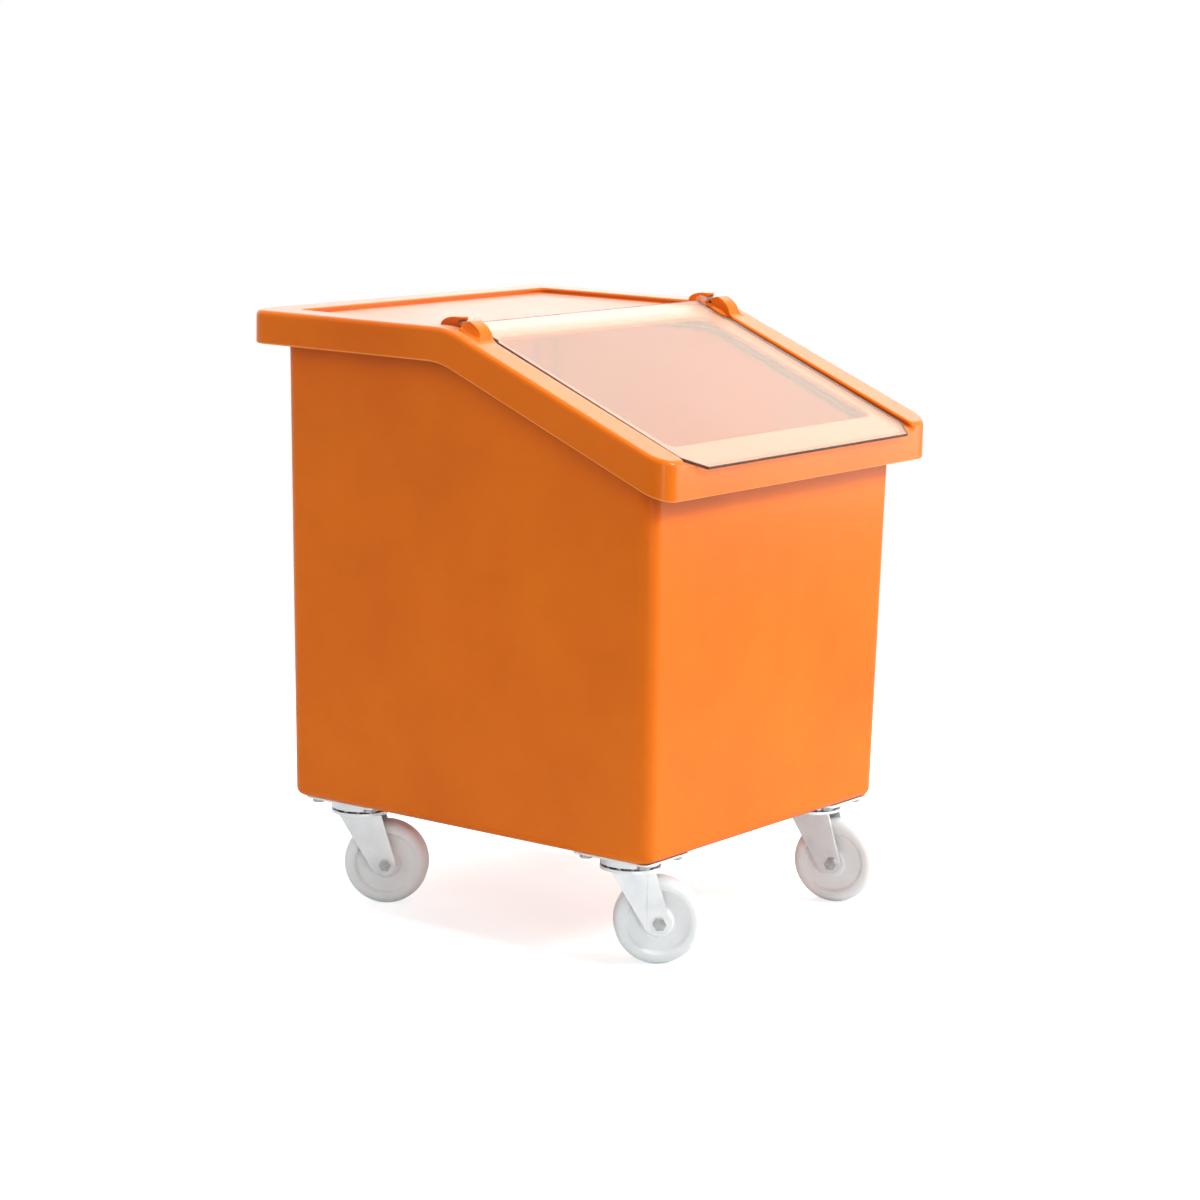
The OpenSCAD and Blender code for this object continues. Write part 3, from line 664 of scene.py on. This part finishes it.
def make_tub():
    bm = bmesh.new()
    mouth, row = shell(bm, 0.0)
    for loop in close_bottom(bm, row, INSERTS, 7.05):
        bore(bm, loop, [(0.0, BASE_Z + 18.1)])
    inner_mouth, inner_row = shell(bm, WALL)
    close_bottom(bm, inner_row, [], 0)
    top, foot = BASE_Z + 22, BASE_Z + WALL
    for spot in INSERTS:
        boss(bm, spot, [(13.4, foot - 1), (13.4, foot + 0.1), (12.6, foot + 0.6), (12.1, foot + 1.6), (12.0, foot + 4),
                        (12.0, top - 1.6), (11.6, top - 0.6), (10.6, top)])
    edges = [bm.edges.get((loop[i], loop[(i + 1) % len(loop)])) for loop in (mouth, inner_mouth)
             for i in range(len(loop))]
    bmesh.ops.bridge_loops(bm, edges=edges)
    thing = finish_mesh("moulded_tub", bm, ORANGE)
    # second slot: the painted highlight on the skirt's lower lip
    thing.data.materials.append(PAINTED_LIP_HIGHLIGHT)
    return weighted(thing)


tub = make_tub()
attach(tub, "bin")
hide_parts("tub")


# ---------- shared shapes ----------

def eased(points, steps=4):
    """A path of (a, b, radius) corners as plain points, with each corner rounded by its radius."""
    path = []
    for i, (a, b, r) in enumerate(points):
        here = Vector((a, b))
        if r <= 0 or i in (0, len(points) - 1):
            path.append((a, b))
            continue
        before, after = Vector(points[i - 1][:2]) - here, Vector(points[i + 1][:2]) - here
        reach = r / math.tan(before.angle(after) / 2)
        one, two = here + before.normalized() * reach, here + after.normalized() * reach
        for k in range(steps + 1):
            t = k / steps
            path.append(tuple(one * (1 - t) ** 2 + here * 2 * t * (1 - t) + two * t * t))
    return path


def rows_of(bm, rows, closed=True):
    """Rows of points joined by quads, each row a closed ring."""
    made = [[bm.verts.new(p) for p in row] for row in rows]
    for one, two in zip(made, made[1:]):
        sew(bm, one, two)
    if closed:
        sew(bm, made[-1], made[0])
    else:
        bm.faces.new(made[0][::-1])
        bm.faces.new(made[-1])
    return made


def prism(bm, outline, low, high, place):
    """A straight solid with that outline between two levels; place turns (a, b, level) into a point."""
    return rows_of(bm, [[place(a, b, level) for a, b in outline] for level in (low, high)], closed=False)


def solid(name, build):
    """A temporary object built by build(bm)."""
    bm = bmesh.new()
    build(bm)
    bmesh.ops.recalc_face_normals(bm, faces=bm.faces)
    mesh = bpy.data.meshes.new(name)
    bm.to_mesh(mesh)
    bm.free()
    thing = bpy.data.objects.new(name, mesh)
    bpy.context.scene.collection.objects.link(thing)
    return thing


def settled(thing):
    """The object's mesh with its modifiers worked in, as a new bmesh; the object is removed."""
    bpy.context.view_layer.update()
    bm = bmesh.new()
    bm.from_object(thing, bpy.context.evaluated_depsgraph_get())
    bpy.data.objects.remove(thing)
    return bm


def carved(thing, other, operation):
    modifier = thing.modifiers.new("carve", "BOOLEAN")
    modifier.object = other
    modifier.operation = operation
    modifier.solver = "EXACT"
    bm = settled(thing)
    bpy.data.objects.remove(other)
    return bm


# ---------- the hinge lugs ----------

PIN_Y, PIN_Z, SLOT_R = 1.5, 710.5, 2.8
HOOK_W, HOOK_TOP, HOOK_FLAT, HOOK_RAMP, NOSE_Y = 17.0, 717.4, 9.0, 22.0, -0.9
HUMP_W, HUMP_Y, HUMP_BACK, HUMP_H, HUMP_L = 21.0, -4.4, 712.0, 13.0, 24.0
HUMP_CREST = 12.8
GRAIN = 0.7


def side_point(u, n):
    """Side view point, u down the slope from the break and n off the rim's sloping top."""
    return (BREAK_Y - u * math.cos(SLOPE) - n * math.sin(SLOPE), RIM_TOP - u * math.sin(SLOPE) + n * math.cos(SLOPE))


def hook_outline():
    flat = NOSE_Y + HOOK_FLAT
    ramp = [(flat + HOOK_RAMP * math.cos(math.radians(a)), RIM_TOP + 10.5 * math.sin(math.radians(a)))
            for a in range(90, -1, -9)]
    return [(NOSE_Y, RIM_TOP - 1.8), (NOSE_Y, HOOK_TOP)] + ramp + [(flat + HOOK_RAMP, RIM_TOP - 1.8)]


def hump_outline(high=HUMP_H, long=HUMP_L):
    """Side view of the hump, or of a lower and longer one that eases its foot onto the border."""
    arc = [side_point(HUMP_CREST + long * math.sin(math.radians(a)), high * math.cos(math.radians(a)))
           for a in range(0, 91, 9)]
    back = HUMP_BACK + (high - HUMP_H) * 0.5
    return [(HUMP_Y, layer(HUMP_Y, 1.8)[0]), (HUMP_Y, back)] + arc + [side_point(HUMP_CREST + long, -1.8)]


def lug(name, side):
    """A moulded lug: the hook with its slot for the pin, and the hump, melted onto the border."""
    def across_bin(a, b, level):
        return (level, a, b)

    x0 = RECESS_X
    hook = solid("hook", lambda bm: prism(bm, hook_outline(), x0, x0 + HOOK_W, across_bin))
    nose = [(x0 + HOOK_W / 2 - HOOK_W / 2 * math.cos(math.radians(a)),
             NOSE_Y + HOOK_W / 2 - HOOK_W / 2 * math.sin(math.radians(a))) for a in range(0, 181, 9)]
    plan = [(x0, 60.0)] + nose + [(x0 + HOOK_W, 60.0)]
    nose_form = solid("nose", lambda bm: prism(bm, plan, 690.0, 730.0, lambda a, b, level: (a, b, level)))
    hook_mesh = bpy.data.meshes.new("hook")
    bm = carved(hook, nose_form, "INTERSECT")
    bm.to_mesh(hook_mesh)
    bm.free()
    hook = bpy.data.objects.new("hook", hook_mesh)
    bpy.context.scene.collection.objects.link(hook)
    slot = [(NOSE_Y - 6, PIN_Z - SLOT_R)] + [(PIN_Y + SLOT_R * math.sin(math.radians(a)),
                                             PIN_Z - SLOT_R * math.cos(math.radians(a))) for a in range(0, 181, 12)]
    slot += [(NOSE_Y - 6, PIN_Z + SLOT_R)]
    cutter = solid("slot", lambda bm: prism(bm, slot, x0 - 3, x0 + HOOK_W + 3, across_bin))
    bm = carved(hook, cutter, "DIFFERENCE")
    for high, long, wide in ((HUMP_H, HUMP_L, 0.0), (8.5, 25.0, 1.0), (5.5, 26.2, 2.2), (3.0, 27.8, 3.8), (1.2, 30.0, 6.0)):
        prism(bm, hump_outline(high, long), x0, x0 + HUMP_W + wide, across_bin)
    ys = [-52 + 4 * i for i in range(25)]
    skin = [(y, layer(y, 0.4)[0]) for y in ys] + [(y, layer(y, 3.6)[0]) for y in reversed(ys)]
    prism(bm, skin, x0 + 2.4, x0 + HUMP_W + 12, across_bin)
    for v in bm.verts:
        v.co.x *= side
    thing = finish_mesh(name, bm, ORANGE)
    melt = thing.modifiers.new("melt", "REMESH")
    melt.mode = "VOXEL"
    melt.voxel_size = GRAIN * 0.001
    melt.use_smooth_shade = True
    ease = thing.modifiers.new("ease", "SMOOTH")
    ease.factor = 0.5
    ease.iterations = 5
    bm = settled(thing)
    mesh = bpy.data.meshes.new(name)
    bm.to_mesh(mesh)
    bm.free()
    for polygon in mesh.polygons:
        polygon.use_smooth = True
    mesh.materials.clear()
    mesh.materials.append(ORANGE)
    thing = bpy.data.objects.new(name, mesh)
    bpy.context.scene.collection.objects.link(thing)
    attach(thing, "bin")
    return thing


lug("hinge_lug_left", -1)
lug("hinge_lug_right", 1)


# ---------- the lid ----------

LID_LOW, LID_HIGH, LID_X, LID_NARROW, STEP_AT = -6.6, -3.6, 225.6, 221.4, 39.5
LID_FRONT = (BREAK_Y + RIM_Y + 11 - LID_HIGH * math.sin(SLOPE)) / math.cos(SLOPE)
LID_CUT_X, LID_CUT_Y = 22.0, 26.0
LID_TAIL_LOW, LID_TAIL_HIGH = 0.12, 7.28
# RIND, RIND_FRONT and RIND_REAR: widths of a band round the edge of the lid's top that takes the near-black material, a
# painted shadow of the gap between lid and rim
LID_RISE, RIND, RIND_FRONT, RIND_REAR = 2.4, 3.0, 1.2, 1.7


def slope_point(x, v, n):
    """Point x across, v up the slope from the break and n off the rim's sloping top."""
    return (x, BREAK_Y + v * math.cos(SLOPE) - n * math.sin(SLOPE), RIM_TOP + v * math.sin(SLOPE) + n * math.cos(SLOPE))


def lid_ring(n, back, front_back, rear_back):
    """The lid's outline at height n, drawn in by those amounts at its sides, front and rear."""
    tail = LID_TAIL_LOW + (LID_TAIL_HIGH - LID_TAIL_LOW) * (n - LID_LOW) / (LID_HIGH - LID_LOW) - rear_back
    front = -LID_FRONT + front_back
    x, narrow, cut = LID_X - back, LID_NARROW - back, back * 0.42
    half = [(narrow, tail, 0.0), (narrow, -STEP_AT + back, 1.2), (x, -STEP_AT + back, 1.2),
            (x, LID_CUT_Y - LID_FRONT + cut, 3.0), (LID_X - LID_CUT_X - cut, front, 3.0), (0.0, front, 0.0)]
    half = eased([(0.0, tail, 0.0)] + [(a, b, max(r - back, 0.1) if r else 0) for a, b, r in half], 3)
    return half + [(-a, b) for a, b in reversed(half[1:-1])]


def make_lid():
    bm = bmesh.new()
    levels = [(LID_LOW, 0.4), (LID_LOW + 0.12, 0.12), (LID_LOW + 0.4, 0.0),
              (LID_HIGH - 0.4, 0.0), (LID_HIGH - 0.12, 0.12), (LID_HIGH, 0.3)]
    rings = [(lid_ring(n, back, back, back), n) for n, back in levels]
    # this last ring marks off the painted shadow band on the lid's top
    rings.append((lid_ring(LID_HIGH, RIND, RIND_FRONT, RIND_REAR), LID_HIGH))
    rows = [[slope_point(a, b, n + LID_RISE * (1 + b / LID_FRONT)) for a, b in ring] for ring, n in rings]
    rows_of(bm, rows, closed=False)
    # the edge faces and the top band take the near-black painted shadow, except the edge faces over the rear deck
    for i, face in enumerate(bm.faces):
        bevel = i < len(rings[0][0]) * (len(rings) - 2) and min(v.co.y for v in face.verts) > BREAK_Y - 1
        face.material_index = 0 if len(face.verts) > 4 or bevel else 1
    thing = finish_mesh("clear_lid", bm, CLEAR)
    thing.data.materials.append(EDGE)
    weighted(thing)
    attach(thing, "lid")
    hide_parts("lid_panel")
    return thing


make_lid()


# ---------- the castors ----------

CASTORS = {"fl": (-1, 0, -49.0), "fr": (1, 0, -73.5), "rl": (-1, 1, -55.0), "rr": (1, 1, -62.0)}
TRAIL, AXLE_Z = 32.0, 50.0


def castor_place(corner, turned=True):
    """Turns a castor's own coordinates into the moulding's, with the wheel trailing where it does."""
    side, end, yaw = CASTORS[corner]
    spin = Matrix.Rotation(math.radians(yaw if turned else 0.0), 4, "Z")
    return Matrix.Translation((side * CASTOR_X, CASTOR_Y[end], 0)) @ spin


def turned_piece(bm, path, steps):
    """A closed ring turned round the axle from a path of (radius, offset along the axle)."""
    rows = []
    for r, y in path:
        rows.append([(TRAIL + r * math.cos(2 * math.pi * i / steps), y, AXLE_Z + r * math.sin(2 * math.pi * i / steps))
                     for i in range(steps)])
    rows_of(bm, rows)


def wheel_path():
    """Half section of the wheel: bore, hub, dished web, face step and crowned tread."""
    half = [(6.08, 18.6, 0), (6.5, 19.0, 0), (14.6, 19.0, 0.9), (16.4, 17.2, 0.9), (17.6, 13.6, 1.6), (34.4, 13.4, 2.2),
            (36.6, 16.3, 1.2), (38.0, 17.0, 0.9), (41.5, 17.0, 0)]
    path = eased(half, 4)
    path += [(40 + 10 * math.sin(math.radians(a)), 7 + 10 * math.cos(math.radians(a))) for a in range(12, 91, 6)]
    return path + [(r, -y) for r, y in reversed(path)]


def make_wheel(corner):
    bm = bmesh.new()
    turned_piece(bm, wheel_path(), 120)
    bm.transform(castor_place(corner))
    thing = finish_mesh("wheel_white_" + corner, bm, NYLON)
    weighted(thing)
    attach(thing, "roller_" + corner)
    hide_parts("wheel_" + corner)
    return thing


for corner in CORNERS:
    make_wheel(corner)

for name, node in NODES.items():
    if name.startswith(("fork", "castor_plate", "axle_bolt", "axle_nut", "plate_bolts", "lid_pivot", "king_pin")):
        weld = node.modifiers.new("weld", "WELD")
        weld.merge_threshold = 0.00001
        edge = node.modifiers.new("soft_edges", "BEVEL")
        edge.width = 0.0004 if name.startswith(("fork", "castor_plate")) else 0.0003
        edge.segments = 2
        edge.limit_method = "ANGLE"
        edge.angle_limit = math.radians(32)
        edge.harden_normals = False
        for polygon in node.data.polygons:
            polygon.use_smooth = True
        weighted(node)


# ---------- camera ----------

AZIMUTH, ELEVATION, ROLL, DISTANCE = -53.36, 10.109, 1.232, 3.7
TARGET = Vector((-0.22746, -0.18008, 0.41764))
az, el, roll = math.radians(AZIMUTH), math.radians(ELEVATION), math.radians(ROLL)
back = Vector((math.sin(az) * math.cos(el), -math.cos(az) * math.cos(el), math.sin(el)))
right = (-back).cross(Vector((0, 0, 1))).normalized()
up = right.cross(-back)
side = right * math.cos(roll) + up * math.sin(roll)
top = -right * math.sin(roll) + up * math.cos(roll)
cam_data = bpy.data.cameras.new("camera")
cam_data.sensor_width = 36.0
cam_data.lens = 3358.71 / 1200 * 36
camera = bpy.data.objects.new("camera", cam_data)
camera.matrix_world = Matrix.Translation(TARGET + back * DISTANCE) @ Matrix((side, top, back)).transposed().to_4x4()
cam_data.clip_start, cam_data.clip_end = 0.1, 50
bpy.context.scene.collection.objects.link(camera)
bpy.context.scene.camera = camera


# ---------- light, background and floor ----------

def lamp(name, place, power, size, gloss=False, aim=(0, 0, 0.4)):
    data = bpy.data.lights.new(name, "AREA")
    data.shape = "RECTANGLE"
    data.energy = power
    data.size, data.size_y = size
    lamp_object = bpy.data.objects.new(name, data)
    lamp_object.location = place
    lamp_object.rotation_euler = (Vector(aim) - Vector(place)).to_track_quat("-Z", "Y").to_euler()
    lamp_object.visible_glossy = gloss
    lamp_object.visible_camera = False
    bpy.context.scene.collection.objects.link(lamp_object)


lamp("key_front", (1.3, -2.6, 2.2), 76, (0.8, 0.8), gloss=True, aim=(0, 0, 0.5))
lamp("front_right", (1.95, -1.75, 0.62), 21, (1.3, 0.9), gloss=True, aim=(0, -0.2, 0.45))
lamp("front_low", (-1.3, -2.9, 0.6), 15, (0.5, 0.8), gloss=True)
lamp("top", (0.0, 0.1, 3.2), 66, (1.8, 1.8))
lamp("fill_left", (-2.9, 0.9, 0.75), 14, (1.6, 1.2), aim=(0, 0.2, 0.4))
lamp("fill_back", (0.5, 3.2, 1.6), 18, (2.0, 2.0))
lamp("wall_glow", (0.0, -0.05, 0.3), 0.3, (0.3, 0.3), aim=(0, 0.05, 0.8))
lamp("back_right", (2.5, 1.2, 2.0), 27, (2.0, 2.0), gloss=True, aim=(0, 0, 0.6))

world = bpy.data.worlds.new("world")
bpy.context.scene.world = world
world.use_nodes = True
wt = world.node_tree
wt.nodes.clear()
paths = wt.nodes.new("ShaderNodeLightPath")
seen = wt.nodes.new("ShaderNodeMath")
seen.operation = "MAXIMUM"
seen_too = wt.nodes.new("ShaderNodeMath")
seen_too.operation = "MAXIMUM"
white = wt.nodes.new("ShaderNodeBackground")
white.inputs["Color"].default_value = (1, 1, 1, 1)
white.inputs["Strength"].default_value = 1.0
dim = wt.nodes.new("ShaderNodeBackground")
dim.inputs["Color"].default_value = (0.96, 0.98, 1.0, 1)
dim.inputs["Strength"].default_value = 0.34
mix = wt.nodes.new("ShaderNodeMixShader")
out = wt.nodes.new("ShaderNodeOutputWorld")
wt.links.new(paths.outputs["Is Camera Ray"], seen.inputs[0])
wt.links.new(paths.outputs["Is Glossy Ray"], seen.inputs[1])
wt.links.new(seen.outputs[0], seen_too.inputs[0])
wt.links.new(paths.outputs["Is Transmission Ray"], seen_too.inputs[1])
wt.links.new(seen_too.outputs[0], mix.inputs["Fac"])
wt.links.new(dim.outputs[0], mix.inputs[1])
wt.links.new(white.outputs[0], mix.inputs[2])
wt.links.new(mix.outputs[0], out.inputs["Surface"])

floor_mesh = bpy.data.meshes.new("floor")
bm = bmesh.new()
bmesh.ops.create_grid(bm, x_segments=4, y_segments=4, size=3.0)
bm.to_mesh(floor_mesh)
bm.free()
floor = bpy.data.objects.new("floor", floor_mesh)
floor.location.z = -0.0002
bpy.context.scene.collection.objects.link(floor)
ground = bpy.data.materials.new("pale_floor")
ground.use_nodes = True
gt = ground.node_tree
gs = gt.nodes["Principled BSDF"]
gs.inputs["Base Color"].default_value = (0.68, 0.75, 0.77, 1)
gs.inputs["Roughness"].default_value = 0.9
gs.inputs["Specular IOR Level"].default_value = 0.1
gs.inputs["Emission Color"].default_value = (1, 1, 1, 1)
light_path = gt.nodes.new("ShaderNodeLightPath")
glow = gt.nodes.new("ShaderNodeMath")
glow.operation = "MULTIPLY"
glow.inputs[1].default_value = 0.66
gt.links.new(light_path.outputs["Is Camera Ray"], glow.inputs[0])
gt.links.new(glow.outputs[0], gs.inputs["Emission Strength"])
place = gt.nodes.new("ShaderNodeTexCoord")
reach = gt.nodes.new("ShaderNodeVectorMath")
reach.operation = "LENGTH"
fade = gt.nodes.new("ShaderNodeMapRange")
fade.interpolation_type = "SMOOTHSTEP"
fade.inputs["From Min"].default_value = 0.8
fade.inputs["From Max"].default_value = 1.9
fade.inputs["To Min"].default_value = 1.0
fade.inputs["To Max"].default_value = 0.0
gt.links.new(place.outputs["Object"], reach.inputs[0])
gt.links.new(reach.outputs["Value"], fade.inputs["Value"])
gt.links.new(fade.outputs["Result"], gs.inputs["Alpha"])
floor_mesh.materials.append(ground)

bpy.context.scene.view_settings.view_transform = "Standard"
